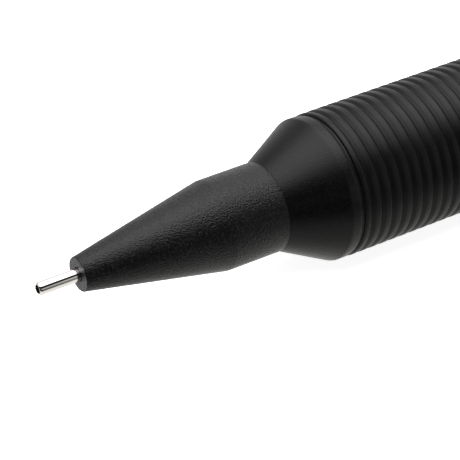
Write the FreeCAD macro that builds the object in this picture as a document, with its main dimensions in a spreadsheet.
import FreeCAD, Part
import os

import Sketcher

# A mechanical pencil for 0.5 mm lead, with a lead sleeve that slides back into the nose.
#
# The pencil lies along X, its writing end towards -X, and +Z is up. The origin is the centre of
# the lead sleeve's mouth, on the pencil's axis. Every round piece is an outline of (station,
# radius) corners turned about that axis, where a station is the distance behind the mouth.
# Radii grow outwards by walls and gaps, and stations grow backwards by lengths and gaps, so that
# a piece follows what it fits on. Screwed joints are plain cylinders with a thread's clearance.

# Driving dimensions: millimetres, degrees and counts.
DIMENSIONS = {
    # gaps between pieces
    "running_gap": 0.03,
    "thread_gap": 0.02,
    "face_gap": 0.05,
    "lead_gap": 0.02,
    "hold_gap": 0.01,
    # lead
    "lead_radius": 0.28,
    "lead_length": 60,
    "lead_setback": 0.95,
    "spare_offset": 0.7,
    # lead sleeve, and the slider that carries it
    "sleeve_wall": 0.15,
    "sleeve_out": 3.0,
    "sleeve_seat": 3.0,
    "sleeve_lip": 0.05,
    "slider_wall": 0.65,
    "slider_length": 5.0,
    "slider_travel": 3.0,
    "retainer_wall": 0.51,
    "retainer_setback": 0.55,
    "slider_ring_width": 0.5,
    "slider_ring_depth": 0.18,
    "slider_ring_setback": 1.2,
    # nose
    "tip_wall": 0.645,
    "tip_land": 2.0,
    "tip_round": 0.08,
    "cone_length": 9.92,
    "nose_wall": 0.78,
    "nose_land": 4.11,
    "nose_round": 0.35,
    "spigot_wall": 0.40,
    "spigot_length": 5.97,
    # chuck: three jaws, the ring that closes them and the spring that draws them back
    "press_travel": 3.0,
    "head_radius": 1.30,
    "head_rear_radius": 1.02,
    "head_chamfer": 0.3,
    "head_taper": 2.5,
    "head_room": 0.25,
    "jaw_count": 3,
    "jaw_slit": 6.0,
    "jaw_length": 8.85,
    "jaw_relief": 0.5,
    "neck_radius": 0.88,
    "ring_wall": 0.37,
    "ring_gap": 0.05,
    "ring_travel": 1.0,
    "housing_wall": 0.55,
    "web_thickness": 1.0,
    "web_gap": 0.27,
    "flange_thickness": 1.0,
    "housing_overlap": 3.0,
    "spring_room": 14.0,
    "spring_gap": 0.15,
    "wire_radius": 0.14,
    "coil_count": 9,
    "stem_bore": 0.45,
    "plunger_collar": 2.0,
    "plunger_spigot": 3.0,
    # lead tube
    "tube_gap": 0.07,
    "tube_wall": 0.43,
    # front barrel, with the shoulder in front of the grip
    "body_radius": 5.0,
    "band_step": 0.04,
    "bevel_length": 3.63,
    "bevel_round": 1.2,
    "band_length": 0.75,
    "band_chamfer": 0.18,
    "core_room": 0.2,
    "core_thread": 7.0,
    # grip
    "grip_wall": 0.88,
    "grip_gap": 0.27,
    "groove_pitch": 0.832,
    "groove_count": 39,
    "groove_mouth": 0.46,
    "groove_floor": 0.22,
    "groove_depth": 0.24,
    "end_rib": 0.6,
    # ring between the grip and the rear barrel
    "joint_width": 1.2,
    "joint_step": 0.2,
    # rear barrel and its end collar
    "barrel_length": 64.1,
    "barrel_chamfer": 0.15,
    "rear_spigot_wall": 0.5,
    "rear_spigot_length": 6.0,
    "collar_wall": 0.7,
    "collar_end": 2.0,
    "collar_step": 0.05,
    "collar_chamfer": 0.5,
    # clip
    "band_width": 2.6,
    "clip_thickness": 0.6,
    "clip_width": 4.0,
    "clip_rise": 2.0,
    "clip_fall": 0.5,
    "clip_reach": 34.5,
    "clip_bend": 0.6,
    "dimple_gap": 0.08,
    "dimple_run": 2.8,
    "dimple_bend": 1.2,
    "tip_run": 3.2,
    "tip_lift": 1.0,
    "clip_nose_round": 1.8,
    # push cap, eraser and clean-out pin
    "cap_room": 0.4,
    "cap_gap": 0.06,
    "cap_wall": 0.45,
    "cap_inside": 5.0,
    "cap_out": 12.0,
    "cap_end": 1.0,
    "cap_round": 0.9,
    "socket_wall": 0.6,
    "socket_out": 2.0,
    "socket_depth": 3.0,
    "tube_seat": 5.0,
    "holder_wall": 0.2,
    "holder_floor": 0.4,
    "holder_length": 6.0,
    "eraser_length": 9.0,
    "eraser_round": 0.4,
    "pin_radius": 0.22,
    "pin_reach": 15.0,
    "pin_grip": 3.0,
    "pin_head_radius": 1.2,
    "pin_head_thickness": 0.4,
}

POSITION_TOLERANCE = 1e-4
LARGEST_SHARE_OF_WALL = 0.9
STRAIGHT_ON = FreeCAD.Vector(1, 0, 0)
ALONG_THE_AXIS = FreeCAD.Rotation(FreeCAD.Vector(0, 1, 0), 90)

document = FreeCAD.newDocument("mechanical_pencil")
sheet = document.addObject("Spreadsheet::Sheet", "sizes")


class Size:
    """A size written as an expression of the sheet's cells, so that sums of sizes stay bound."""

    def __init__(self, text):
        self.text = text

    def __add__(self, other):
        return Size(f"({self.text} + {expression(other)})")

    def __sub__(self, other):
        return Size(f"({self.text} - {expression(other)})")

    def __mul__(self, other):
        return Size(f"({self.text} * {expression(other)})")

    def __truediv__(self, other):
        return Size(f"({self.text} / {expression(other)})")

    def value(self):
        """The size as a plain number."""
        result = sheet.evalExpression(self.text)
        return float(getattr(result, "Value", result))


def expression(amount):
    """The text of a Size, or of a plain number."""
    return amount.text if isinstance(amount, Size) else str(amount)


def within_wall(radius, wall):
    """A rounding radius, kept a little under the wall that it is cut from."""
    return Size(f"min({radius.text}; {wall.text} * {LARGEST_SHARE_OF_WALL})")


def fill_sheet():
    """Write each driving dimension into a cell of its own and name the cell."""
    for row, (name, number) in enumerate(DIMENSIONS.items(), start=1):
        sheet.set(f"A{row}", name)
        sheet.set(f"B{row}", str(number))
        sheet.setAlias(f"B{row}", name)
    document.recompute()


fill_sheet()
size = {name: Size(f"sizes.{name}") for name in DIMENSIONS}
ZERO = Size("0")


def origin_feature(body, role):
    """A plane or an axis of a body's own origin."""
    return next(feature for feature in body.Origin.OriginFeatures if feature.Role == role)


def new_body(name):
    """An empty body whose label is the name of the piece."""
    body = document.addObject("PartDesign::Body", name)
    body.Label = name
    return body


def outline_sketch(body, name, corners):
    """A closed outline on the body's XZ plane, each corner bound to its two sizes."""
    sketch = body.newObject("Sketcher::SketchObject", f"{body.Name}_{name}")
    sketch.AttachmentSupport = (origin_feature(body, "XZ_Plane"), [""])
    sketch.MapMode = "FlatFace"
    points = [FreeCAD.Vector(station.value(), height.value(), 0) for station, height in corners]
    for start, end in zip(points, points[1:] + points[:1]):
        sketch.addGeometry(Part.LineSegment(start, end), False)
    for line in range(len(points)):
        following = (line + 1) % len(points)
        sketch.addConstraint(Sketcher.Constraint("Coincident", line, 2, following, 1))
    for line, (station, height) in enumerate(corners):
        for kind, distance in (("DistanceX", station), ("DistanceY", height)):
            constraint = Sketcher.Constraint(kind, -1, 1, line, 1, distance.value())
            index = sketch.addConstraint(constraint)
            sketch.setExpression(f"Constraints[{index}]", distance.text)
    document.recompute()
    return sketch


def turned(name, corners, angle=None):
    """A round piece: an outline turned about the axis, all the way or through an angle."""
    body = new_body(name)
    sketch = outline_sketch(body, "outline", corners)
    turning = body.newObject("PartDesign::Revolution", f"{name}_turning")
    turning.Profile = sketch
    turning.ReferenceAxis = (sketch, ["H_Axis"])
    if angle:
        turning.Midplane = True
        turning.setExpression("Angle", angle.text)
    document.recompute()
    return body


def grooved(body, name, corners):
    """Turn an outline out of a round piece, and return the groove."""
    volume = body.Shape.Volume
    sketch = outline_sketch(body, f"{name}_outline", corners)
    groove = body.newObject("PartDesign::Groove", f"{body.Name}_{name}")
    groove.Profile = sketch
    groove.ReferenceAxis = (sketch, ["H_Axis"])
    document.recompute()
    if body.Shape.Volume >= volume:
        raise RuntimeError(f"{body.Name}: {name} cuts nothing")
    return groove


def near(first, second):
    """Whether two lengths are the same."""
    return abs(first - second) < POSITION_TOLERANCE


def edge_names(shape, wanted):
    """The names of the shape's edges that a test picks."""
    names = [f"Edge{number}" for number, edge in enumerate(shape.Edges, start=1) if wanted(edge)]
    if not names:
        raise RuntimeError("no edge at this place")
    return names


def rim(station, radius):
    """A test for the round edge of this radius at this station."""
    place, reach = station.value(), radius.value()

    def wanted(edge):
        if not isinstance(edge.Curve, Part.Circle):
            return False
        return near(edge.Curve.Center.x, place) and near(edge.Curve.Radius, reach)

    return wanted


def fold(station, height):
    """A test for the straight edge that runs across the clip at this station and height."""
    place, level = station.value(), height.value()
    return lambda edge: all(near(v.X, place) and near(v.Z, level) for v in edge.Vertexes)


def dress(body, kind, amount_name, amount, *tests):
    """Round or chamfer the edges that the tests pick, by an amount from the sheet."""
    base = body.Tip
    names = [name for wanted in tests for name in edge_names(base.Shape, wanted)]
    feature = body.newObject(f"PartDesign::{kind}", f"{body.Name}_{kind.lower()}")
    feature.Base = (base, names)
    feature.setExpression(amount_name, amount.text)
    document.recompute()
    return feature


def rounded(body, radius, *tests):
    """Fillet the edges that the tests pick."""
    return dress(body, "Fillet", "Radius", radius, *tests)


def chamfered(body, width, *tests):
    """Chamfer the edges that the tests pick."""
    return dress(body, "Chamfer", "Size", width, *tests)


def tube(name, front, rear, outer, inner):
    """A plain turned tube."""
    return turned(name, [(front, inner), (rear, inner), (rear, outer), (front, outer)])


def lead_rod(name, front, height):
    """One length of lead, along the axis or beside it."""
    rod = document.addObject("Part::Cylinder", name)
    rod.Label = name
    rod.Placement = FreeCAD.Placement(FreeCAD.Vector(), ALONG_THE_AXIS)
    rod.setExpression("Radius", size["lead_radius"].text)
    rod.setExpression("Height", size["lead_length"].text)
    rod.setExpression("Placement.Base.x", front.text)
    rod.setExpression("Placement.Base.z", height.text)
    return rod


# Radii, from the lead outwards.
lead_bore = size["lead_radius"] + size["lead_gap"]
hold_bore = size["lead_radius"] + size["hold_gap"]
sleeve_radius = lead_bore + size["sleeve_wall"]
tip_hole = sleeve_radius + size["running_gap"]
tip_radius = tip_hole + size["tip_wall"]
slider_radius = sleeve_radius + size["slider_wall"]
slider_bore = slider_radius + size["running_gap"]
slider_groove = slider_radius - size["slider_ring_depth"]
retainer_radius = hold_bore + size["retainer_wall"]
head_chamber = size["head_radius"] + size["head_room"]
ring_bore_front = size["head_radius"] + size["running_gap"]
ring_bore_rear = size["head_rear_radius"] + size["running_gap"]
ring_radius = ring_bore_front + size["ring_wall"]
chamber = ring_radius + size["ring_gap"]
housing_radius = chamber + size["housing_wall"]
housing_bore = housing_radius + size["running_gap"]
nose_radius = housing_bore + size["nose_wall"]
spigot_radius = housing_bore + size["spigot_wall"]
spigot_bore = spigot_radius + size["thread_gap"]
flange_radius = spigot_radius - size["thread_gap"]
web_hole = size["neck_radius"] + size["web_gap"]
tube_radius = chamber - size["tube_gap"]
tube_bore = tube_radius - size["tube_wall"]
coil_radius = chamber - size["spring_gap"] - size["wire_radius"]
core_bore = housing_radius + size["core_room"]

# Radii, from the outside inwards.
band_radius = size["body_radius"] - size["band_step"]
grip_bore = size["body_radius"] - size["grip_wall"]
core_radius = grip_bore - size["thread_gap"]
joint_radius = size["body_radius"] - size["joint_step"]
collar_radius = size["body_radius"] - size["collar_step"]
collar_bore = size["body_radius"] - size["collar_wall"]
rear_spigot_radius = collar_bore - size["thread_gap"]
barrel_bore = rear_spigot_radius - size["rear_spigot_wall"]
cap_radius = barrel_bore - size["cap_room"]
cap_hole = cap_radius + size["cap_gap"]
cap_bore = cap_radius - size["cap_wall"]
socket_radius = cap_bore - size["running_gap"]
socket_bore = socket_radius - size["socket_wall"]
holder_radius = socket_bore - size["running_gap"]
eraser_radius = holder_radius - size["holder_wall"]

# Stations of the nose and of the sleeve that slides in it.
nose_face = size["sleeve_out"]
cone_rear = nose_face + size["cone_length"]
land_rear = cone_rear + size["nose_land"]
spigot_rear = land_rear + size["spigot_length"]
slider_chamber = nose_face + size["tip_land"]
slider_front = slider_chamber + size["face_gap"]
slider_rear = slider_front + size["slider_length"]
sleeve_rear = slider_front + size["sleeve_seat"]
slider_ring_front = slider_front + size["slider_ring_setback"]
slider_ring_rear = slider_ring_front + size["slider_ring_width"]
head_chamber_front = slider_rear + size["slider_travel"] + size["face_gap"]

# Stations of the chuck and its housing.
jaw_front = head_chamber_front + size["press_travel"] + size["face_gap"]
taper_front = jaw_front + size["head_chamfer"]
taper_rear = taper_front + size["head_taper"]
jaw_rear = jaw_front + size["jaw_length"]
housing_front = taper_front - size["ring_travel"] - size["face_gap"]
web_front = taper_rear + size["face_gap"]
web_rear = web_front + size["web_thickness"]
stem_front = jaw_rear + size["face_gap"]
plunger_collar_front = web_rear + size["spring_room"]
tube_front = plunger_collar_front + size["plunger_collar"]
housing_rear = plunger_collar_front + size["housing_overlap"]
flange_rear = spigot_rear + size["flange_thickness"]
plunger_spigot_rear = tube_front + size["plunger_spigot"]

# Stations of the outside, behind the nose.
bevel_rear = land_rear + size["bevel_length"]
band_rear = bevel_rear + size["band_length"]
grip_front = band_rear + size["grip_gap"]
grip_rear = grip_front + size["end_rib"] * 2 + size["groove_pitch"] * (size["groove_count"] - 1)
joint_front = grip_rear + size["face_gap"]
joint_rear = joint_front + size["joint_width"]
barrel_front = joint_rear + size["face_gap"]
core_rear = barrel_front + size["core_thread"]
barrel_step = core_rear + size["face_gap"]
barrel_rear = barrel_front + size["barrel_length"]
clip_band_front = barrel_rear + size["face_gap"]
clip_band_rear = clip_band_front + size["band_width"]
rear_spigot_rear = barrel_rear + size["rear_spigot_length"]
collar_front = clip_band_rear + size["face_gap"]
collar_step = rear_spigot_rear + size["face_gap"]
collar_rear = collar_step + size["collar_end"]

# Stations of the push cap and of what it covers.
cap_front = collar_rear - size["cap_inside"]
cap_rear = collar_rear + size["cap_out"]
socket_rear = collar_rear + size["socket_out"]
socket_floor = socket_rear - size["socket_depth"]
tube_rear = socket_floor - size["web_thickness"]
socket_front = tube_rear - size["tube_seat"]
holder_front = socket_floor + size["face_gap"]
holder_inside = holder_front + size["holder_floor"]
holder_rear = holder_front + size["holder_length"]
eraser_front = holder_inside + size["pin_head_thickness"]
eraser_rear = eraser_front + size["eraser_length"]
pin_front = holder_inside - size["pin_reach"]
pin_rear = eraser_front + size["pin_grip"]


def make_nose_cone():
    """The nose: a cone, a short land and a threaded spigot, bored in steps from behind."""
    body = turned("nose_cone", [
        (nose_face, tip_hole),
        (nose_face, tip_radius),
        (cone_rear, nose_radius),
        (land_rear, nose_radius),
        (land_rear, spigot_radius),
        (spigot_rear, spigot_radius),
        (spigot_rear, housing_bore),
        (housing_front, housing_bore),
        (housing_front, head_chamber),
        (head_chamber_front, head_chamber),
        (head_chamber_front, slider_bore),
        (slider_chamber, slider_bore),
        (slider_chamber, tip_hole),
    ])
    land_step = size["nose_wall"] - size["spigot_wall"]
    rounded(body, within_wall(size["nose_round"], land_step), rim(land_rear, nose_radius))
    rounded(body, size["tip_round"], rim(nose_face, tip_radius))
    return body


def make_lead_sleeve():
    """The thin steel tube that guides the lead, with its mouth rounded inside and out."""
    body = tube("lead_sleeve", ZERO, sleeve_rear, sleeve_radius, lead_bore)
    rounded(body, size["sleeve_lip"], rim(ZERO, sleeve_radius), rim(ZERO, lead_bore))
    return body


def make_sleeve_slider():
    """The carrier of the sleeve, with a pocket for the retainer and a groove for its ring."""
    body = turned("sleeve_slider", [
        (slider_front, sleeve_radius),
        (slider_front, slider_radius),
        (slider_rear, slider_radius),
        (slider_rear, retainer_radius),
        (sleeve_rear, retainer_radius),
        (sleeve_rear, sleeve_radius),
    ])
    beyond = slider_radius + size["running_gap"]
    grooved(body, "ring_groove", [
        (slider_ring_front, slider_groove),
        (slider_ring_rear, slider_groove),
        (slider_ring_rear, beyond),
        (slider_ring_front, beyond),
    ])
    return body


def make_slider_ring():
    """The rubber ring whose friction holds the sleeve where it is pushed to."""
    outer = slider_bore - size["hold_gap"]
    return tube("slider_ring", slider_ring_front, slider_ring_rear, outer, slider_groove)


def make_lead_retainer():
    """The rubber grommet that holds the lead while the jaws are open."""
    front = sleeve_rear + size["retainer_setback"]
    rear = slider_rear - size["face_gap"]
    return tube("lead_retainer", front, rear, retainer_radius, hold_bore)


def make_chuck_housing():
    """The tube that guides the chuck, with a web between the ring's and the spring's chamber."""
    return turned("chuck_housing", [
        (housing_front, chamber),
        (housing_front, housing_radius),
        (spigot_rear, housing_radius),
        (spigot_rear, flange_radius),
        (flange_rear, flange_radius),
        (flange_rear, housing_radius),
        (housing_rear, housing_radius),
        (housing_rear, chamber),
        (web_rear, chamber),
        (web_rear, web_hole),
        (web_front, web_hole),
        (web_front, chamber),
    ])


def make_chuck_ring():
    """The brass ring whose tapered bore closes the jaws."""
    return turned("chuck_ring", [
        (taper_front, ring_bore_front),
        (taper_front, ring_radius),
        (taper_rear, ring_radius),
        (taper_rear, ring_bore_rear),
    ])


def make_chuck_jaw(number):
    """One jaw of the chuck: a third of a tapered head on a slim neck."""
    jaw_angle = Size("360") / size["jaw_count"]
    nose_of_head = size["head_radius"] - size["head_chamfer"]
    body = turned(f"chuck_jaw_{number + 1}", [
        (jaw_front, hold_bore),
        (jaw_front, nose_of_head),
        (taper_front, size["head_radius"]),
        (taper_rear, size["head_rear_radius"]),
        (taper_rear, size["neck_radius"]),
        (jaw_rear, size["neck_radius"]),
        (jaw_rear, size["jaw_relief"]),
        (taper_rear, size["jaw_relief"]),
        (taper_rear, hold_bore),
    ], angle=jaw_angle - size["jaw_slit"])
    turn = Size(str(number)) * jaw_angle
    body.Placement = FreeCAD.Placement(FreeCAD.Vector(), FreeCAD.Rotation(STRAIGHT_ON, 1))
    body.setExpression("Placement.Rotation.Angle", turn.text)
    return body


def make_chuck_body():
    """The stem behind the jaws, with the collar that the spring pushes on."""
    stem_spigot = tube_bore - size["thread_gap"]
    return turned("chuck_body", [
        (stem_front, size["stem_bore"]),
        (stem_front, size["neck_radius"]),
        (plunger_collar_front, size["neck_radius"]),
        (plunger_collar_front, tube_radius),
        (tube_front, tube_radius),
        (tube_front, stem_spigot),
        (plunger_spigot_rear, stem_spigot),
        (plunger_spigot_rear, size["stem_bore"]),
    ])


def make_chuck_spring():
    """The coil spring between the housing's web and the plunger's collar."""
    body = new_body("chuck_spring")
    wire = body.newObject("Sketcher::SketchObject", "chuck_spring_wire")
    wire.AttachmentSupport = (origin_feature(body, "XZ_Plane"), [""])
    wire.MapMode = "FlatFace"
    first = web_rear + size["face_gap"] + size["wire_radius"]
    centre = FreeCAD.Vector(first.value(), coil_radius.value(), 0)
    upward = FreeCAD.Vector(0, 0, 1)
    wire.addGeometry(Part.Circle(centre, upward, DIMENSIONS["wire_radius"]), False)
    for kind, distance in (("DistanceX", first), ("DistanceY", coil_radius)):
        index = wire.addConstraint(Sketcher.Constraint(kind, -1, 1, 0, 3, distance.value()))
        wire.setExpression(f"Constraints[{index}]", distance.text)
    index = wire.addConstraint(Sketcher.Constraint("Radius", 0, DIMENSIONS["wire_radius"]))
    wire.setExpression(f"Constraints[{index}]", size["wire_radius"].text)
    document.recompute()
    coil = body.newObject("PartDesign::AdditiveHelix", "chuck_spring_coil")
    coil.Profile = wire
    coil.ReferenceAxis = (wire, ["H_Axis"])
    coil.Mode = "height-turns-angle"
    room = size["spring_room"] - size["face_gap"] * 2 - size["wire_radius"] * 2
    coil.setExpression("Height", room.text)
    coil.setExpression("Turns", size["coil_count"].text)
    document.recompute()
    return body


def make_spare_leads():
    """Two spare leads, side by side in the lead tube."""
    front = plunger_spigot_rear + size["tube_wall"]
    above = lead_rod("spare_lead_above", front, size["spare_offset"])
    below = lead_rod("spare_lead_below", front, ZERO - size["spare_offset"])
    leads = document.addObject("Part::Compound", "spare_leads")
    leads.Label = "spare_leads"
    leads.Links = [above, below]
    return leads


def make_grip_core():
    """The front barrel: the shoulder in front, and the tube that the grip is fitted over."""
    body = turned("grip_core", [
        (land_rear, spigot_bore),
        (land_rear, nose_radius),
        (bevel_rear, band_radius),
        (band_rear, band_radius),
        (band_rear, core_radius),
        (core_rear, core_radius),
        (core_rear, core_bore),
        (flange_rear, core_bore),
        (flange_rear, spigot_bore),
    ])
    rounded(body, size["bevel_round"], rim(bevel_rear, band_radius))
    chamfered(body, size["band_chamfer"], rim(band_rear, band_radius))
    return body


def make_grip_sleeve():
    """The grip: a sleeve with a row of fine grooves around it."""
    outer = size["body_radius"]
    body = tube("grip_sleeve", grip_front, grip_rear, outer, grip_bore)
    first = grip_front + size["end_rib"]
    floor = outer - size["groove_depth"]
    beyond = outer + size["running_gap"]
    groove = grooved(body, "groove", [
        (first - size["groove_floor"] / 2, floor),
        (first + size["groove_floor"] / 2, floor),
        (first + size["groove_mouth"] / 2, outer),
        (first + size["groove_mouth"] / 2, beyond),
        (first - size["groove_mouth"] / 2, beyond),
        (first - size["groove_mouth"] / 2, outer),
    ])
    volume = body.Shape.Volume
    row = body.newObject("PartDesign::LinearPattern", "grip_sleeve_row")
    row.Originals = [groove]
    row.Direction = (origin_feature(body, "X_Axis"), [""])
    span = size["groove_pitch"] * (size["groove_count"] - 1)
    row.setExpression("Length", span.text)
    row.setExpression("Occurrences", size["groove_count"].text)
    body.Tip = row
    document.recompute()
    if body.Shape.Volume >= volume:
        raise RuntimeError("the row of grooves cuts nothing")
    return body


def make_joint_ring():
    """The ring between the grip and the rear barrel."""
    return tube("joint_ring", joint_front, joint_rear, joint_radius, grip_bore)


def make_rear_barrel():
    """The rear barrel, bored for the front barrel's thread, with a spigot for clip and collar."""
    outer = size["body_radius"]
    body = turned("rear_barrel", [
        (barrel_front, grip_bore),
        (barrel_front, outer),
        (barrel_rear, outer),
        (barrel_rear, rear_spigot_radius),
        (rear_spigot_rear, rear_spigot_radius),
        (rear_spigot_rear, barrel_bore),
        (barrel_step, barrel_bore),
        (barrel_step, grip_bore),
    ])
    chamfered(body, size["barrel_chamfer"], rim(barrel_front, outer), rim(barrel_rear, outer))
    return body


def make_clip_band():
    """The clip's ring, held between the barrel and the end collar."""
    return tube("clip_band", clip_band_front, clip_band_rear, collar_radius, collar_bore)


def make_clip_arm():
    """The clip's springy arm: a bent strip with a dimple that presses on the barrel."""
    body = new_body("clip_arm")
    thick = size["clip_thickness"]
    root = clip_band_front + size["band_width"] / 2
    foot = collar_radius + size["face_gap"]
    top = size["body_radius"] + size["clip_rise"]
    low = top - size["clip_fall"]
    dimple = root - size["clip_reach"]
    dimple_rear = dimple + size["dimple_run"]
    touch = size["body_radius"] + size["dimple_gap"]
    end = dimple - size["tip_run"]
    end_height = size["body_radius"] + size["tip_lift"]
    sketch = outline_sketch(body, "side", [
        (root + thick / 2, foot),
        (root + thick / 2, top),
        (dimple_rear, low),
        (dimple, touch + thick),
        (end, end_height + thick),
        (end, end_height),
        (dimple, touch),
        (dimple_rear, low - thick),
        (root - thick / 2, top - thick),
        (root - thick / 2, foot),
    ])
    strip = body.newObject("PartDesign::Pad", "clip_arm_strip")
    strip.Profile = sketch
    strip.SideType = "Symmetric"
    strip.setExpression("Length", size["clip_width"].text)
    document.recompute()
    inner_bend, outer_bend = size["clip_bend"], size["clip_bend"] + thick
    rounded(body, outer_bend, fold(root + thick / 2, top))
    rounded(body, inner_bend, fold(root - thick / 2, top - thick))
    rounded(body, size["dimple_bend"], fold(dimple, touch), fold(dimple_rear, low))
    rounded(body, size["clip_nose_round"], upright_edge(end, end_height, thick))
    hang_clip(body, top)
    return body


def upright_edge(station, height, thick):
    """A test for the two edges that stand at the corners of the clip's free end."""
    place, middle, half = station.value(), (height + thick / 2).value(), thick.value() / 2
    reach = half + POSITION_TOLERANCE

    def wanted(edge):
        low, high = edge.BoundBox.ZMin, edge.BoundBox.ZMax
        if not all(near(v.X, place) for v in edge.Vertexes) or near(low, high):
            return False
        return middle - reach < low and high < middle + reach

    return wanted


def hang_clip(body, top):
    """Turn the clip about the axis until its edge is as low as the barrel it rests with."""
    half = size["clip_width"] / 2
    corner = f"sqrt({top.text}^2 + {half.text}^2)"
    lean = f"acos({size['body_radius'].text} / {corner}) + atan({half.text} / {top.text})"
    body.Placement = FreeCAD.Placement(FreeCAD.Vector(), FreeCAD.Rotation(STRAIGHT_ON, 1))
    body.setExpression("Placement.Rotation.Angle", f"180 deg - ({lean})")


def make_end_collar():
    """The collar screwed over the barrel's spigot, which holds the clip and guides the cap."""
    body = turned("end_collar", [
        (collar_front, collar_bore),
        (collar_front, collar_radius),
        (collar_rear, collar_radius),
        (collar_rear, cap_hole),
        (collar_step, cap_hole),
        (collar_step, collar_bore),
    ])
    chamfered(body, size["collar_chamfer"], rim(collar_rear, collar_radius))
    return body


def make_lead_tube():
    """The tube that stores the leads and carries the press of the cap to the chuck."""
    return tube("lead_tube", tube_front, tube_rear, tube_radius, tube_bore)


def make_eraser_socket():
    """The socket on the lead tube's end, which the cap pushes onto and the eraser sits in."""
    tube_hole = tube_radius + size["thread_gap"]
    return turned("eraser_socket", [
        (socket_front, tube_hole),
        (socket_front, socket_radius),
        (socket_rear, socket_radius),
        (socket_rear, socket_bore),
        (socket_floor, socket_bore),
        (socket_floor, tube_bore),
        (tube_rear, tube_bore),
        (tube_rear, tube_hole),
    ])


def make_eraser_holder():
    """The thin metal cup around the eraser's front end."""
    pin_hole = size["pin_radius"] + size["running_gap"]
    return turned("eraser_holder", [
        (holder_front, pin_hole),
        (holder_front, holder_radius),
        (holder_rear, holder_radius),
        (holder_rear, eraser_radius),
        (holder_inside, eraser_radius),
        (holder_inside, pin_hole),
    ])


def make_eraser():
    """The eraser, with a blind hole for the clean-out pin."""
    pin_hole = size["pin_radius"] + size["hold_gap"]
    hole_end = pin_rear + size["face_gap"]
    body = turned("eraser", [
        (eraser_front, pin_hole),
        (eraser_front, eraser_radius),
        (eraser_rear, eraser_radius),
        (eraser_rear, ZERO),
        (hole_end, ZERO),
        (hole_end, pin_hole),
    ])
    rounded(body, size["eraser_round"], rim(eraser_rear, eraser_radius))
    return body


def make_clean_out_pin():
    """The needle that clears a jammed lead, with a head between eraser and cup."""
    return turned("clean_out_pin", [
        (pin_front, ZERO),
        (pin_front, size["pin_radius"]),
        (holder_inside, size["pin_radius"]),
        (holder_inside, size["pin_head_radius"]),
        (eraser_front, size["pin_head_radius"]),
        (eraser_front, size["pin_radius"]),
        (pin_rear, size["pin_radius"]),
        (pin_rear, ZERO),
    ])


def make_push_cap():
    """The push button: a closed cap over the eraser and its socket."""
    inside = cap_rear - size["cap_end"]
    body = turned("push_cap", [
        (cap_front, cap_bore),
        (cap_front, cap_radius),
        (cap_rear, cap_radius),
        (cap_rear, ZERO),
        (inside, ZERO),
        (inside, cap_bore),
    ])
    rounded(body, size["cap_round"], rim(cap_rear, cap_radius))
    return body


def make_pencil():
    """Every piece of the pencil, from the writing end to the cap."""
    return [
        make_nose_cone(),
        make_lead_sleeve(),
        make_sleeve_slider(),
        make_slider_ring(),
        make_lead_retainer(),
        make_chuck_housing(),
        make_chuck_ring(),
        *[make_chuck_jaw(number) for number in range(DIMENSIONS["jaw_count"])],
        make_chuck_body(),
        make_chuck_spring(),
        lead_rod("lead", sleeve_rear + size["lead_setback"], ZERO),
        make_spare_leads(),
        make_grip_core(),
        make_grip_sleeve(),
        make_joint_ring(),
        make_rear_barrel(),
        make_clip_band(),
        make_clip_arm(),
        make_end_collar(),
        make_lead_tube(),
        make_eraser_socket(),
        make_eraser_holder(),
        make_eraser(),
        make_clean_out_pin(),
        make_push_cap(),
    ]


def check(pieces):
    """Stop if a feature failed or a piece is missing, open or not a solid."""
    for item in document.Objects:
        if {"Invalid", "Error"} & set(item.State):
            raise RuntimeError(f"{item.Label} failed: {item.State}")
    for piece in pieces:
        if piece.Shape.isNull() or not piece.Shape.isValid() or not piece.Shape.Solids:
            raise RuntimeError(f"{piece.Label} is not a valid solid")


def write(pieces):
    """Write each piece to its own file."""
    os.makedirs("parts", exist_ok=True)
    for piece in pieces:
        piece.Shape.exportStep(f"parts/{piece.Label}.step")


pencil = make_pencil()
document.recompute()
check(pencil)
write(pencil)
